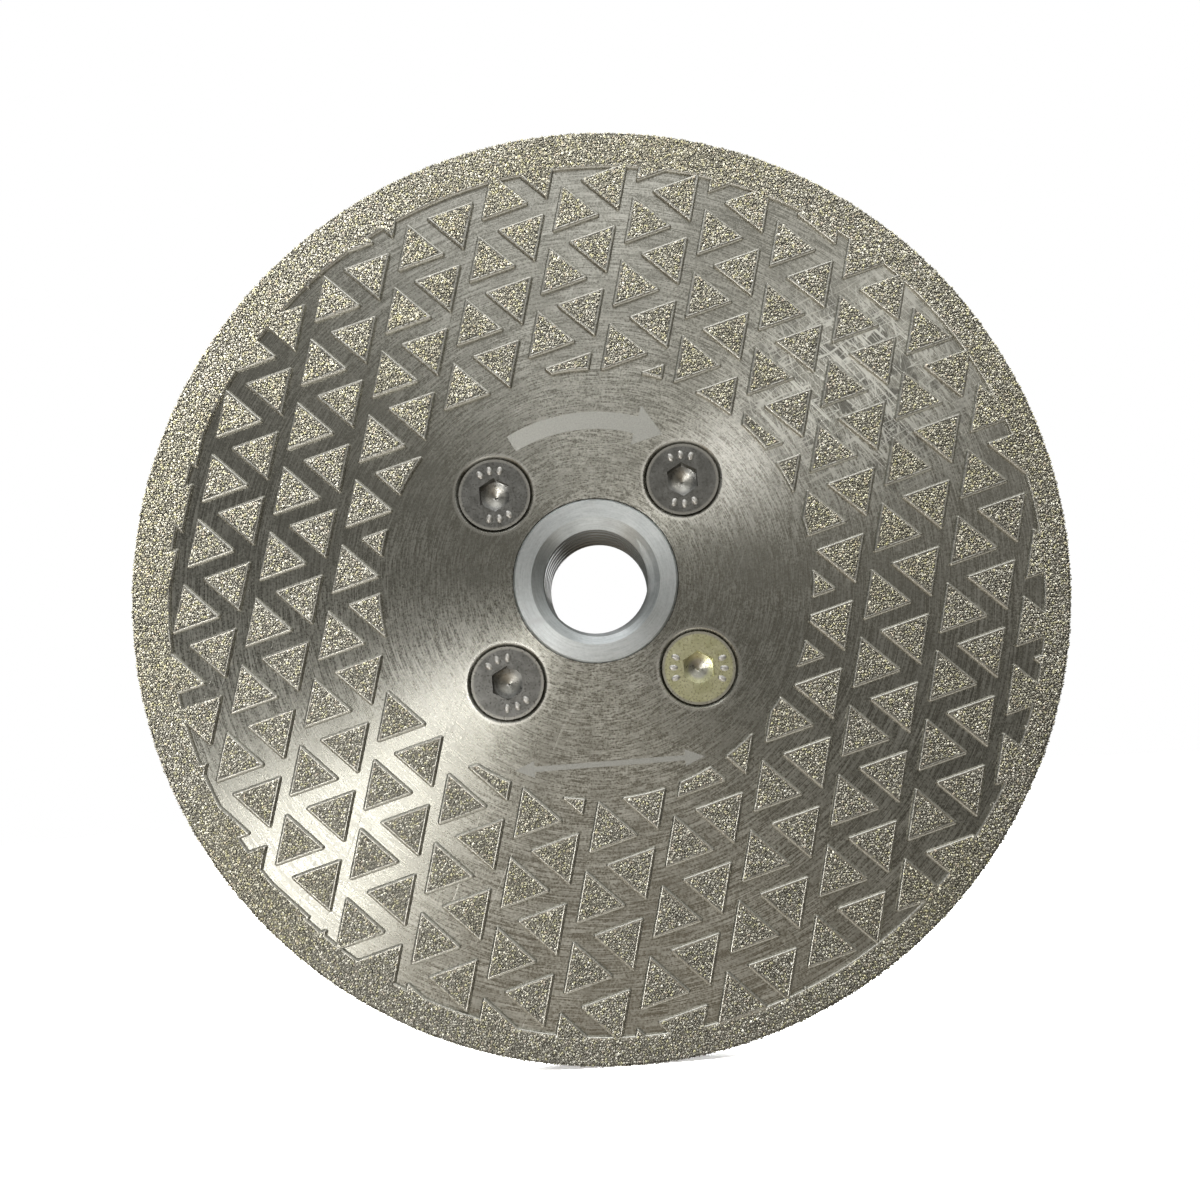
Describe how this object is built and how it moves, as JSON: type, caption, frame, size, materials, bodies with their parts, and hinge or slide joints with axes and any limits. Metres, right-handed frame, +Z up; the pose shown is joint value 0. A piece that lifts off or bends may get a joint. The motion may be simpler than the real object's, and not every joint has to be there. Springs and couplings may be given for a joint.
{
  "type": "diamond grinding wheel",
  "caption": "Flat steel grinding wheel with brazed triangular diamond pads, a coated rim and a threaded hub held on by countersunk screws.",
  "frame": {"origin": "centre of the bore, at the plane where the steel core seats on the hub's flange", "axes": "+Y along the axle, out of the hub's threaded end towards the grinder; the diamond face looks along -Y; +Z up, through the wheel's top"},
  "size_m": [0.125, 0.0164, 0.125],
  "materials": {
    "core_steel": "circular brushed",
    "hub_alloy": "machined satin",
    "screw_steel": "polished stainless",
    "diamond_grit": "coarse sparkling grit"
  },
  "bodies": {
    "root": {"countersunk_screw_1": "screw_steel", "countersunk_screw_2": "screw_steel", "countersunk_screw_3": "screw_steel", "countersunk_screw_4": "screw_steel", "diamond_rim": "diamond_grit", "pads_column_01_inverted": "diamond_grit", "pads_column_01_upright": "diamond_grit", "pads_column_02_inverted": "diamond_grit", "pads_column_02_upright": "diamond_grit", "pads_column_03_inverted": "diamond_grit", "pads_column_03_upright": "diamond_grit", "pads_column_04_inverted": "diamond_grit", "pads_column_04_upright": "diamond_grit", "pads_column_05_inverted": "diamond_grit", "pads_column_05_upright": "diamond_grit", "pads_column_06_inverted": "diamond_grit", "pads_column_06_upright": "diamond_grit", "pads_column_07_inverted": "diamond_grit", "pads_column_07_upright": "diamond_grit", "pads_column_08_inverted": "diamond_grit", "pads_column_08_upright": "diamond_grit", "pads_column_09_inverted": "diamond_grit", "pads_column_09_upright": "diamond_grit", "pads_column_10_inverted": "diamond_grit", "pads_column_10_upright": "diamond_grit", "pads_column_11_inverted": "diamond_grit", "pads_column_11_upright": "diamond_grit", "steel_core": "core_steel", "threaded_hub": "hub_alloy"}
  },
  "joints": []
}
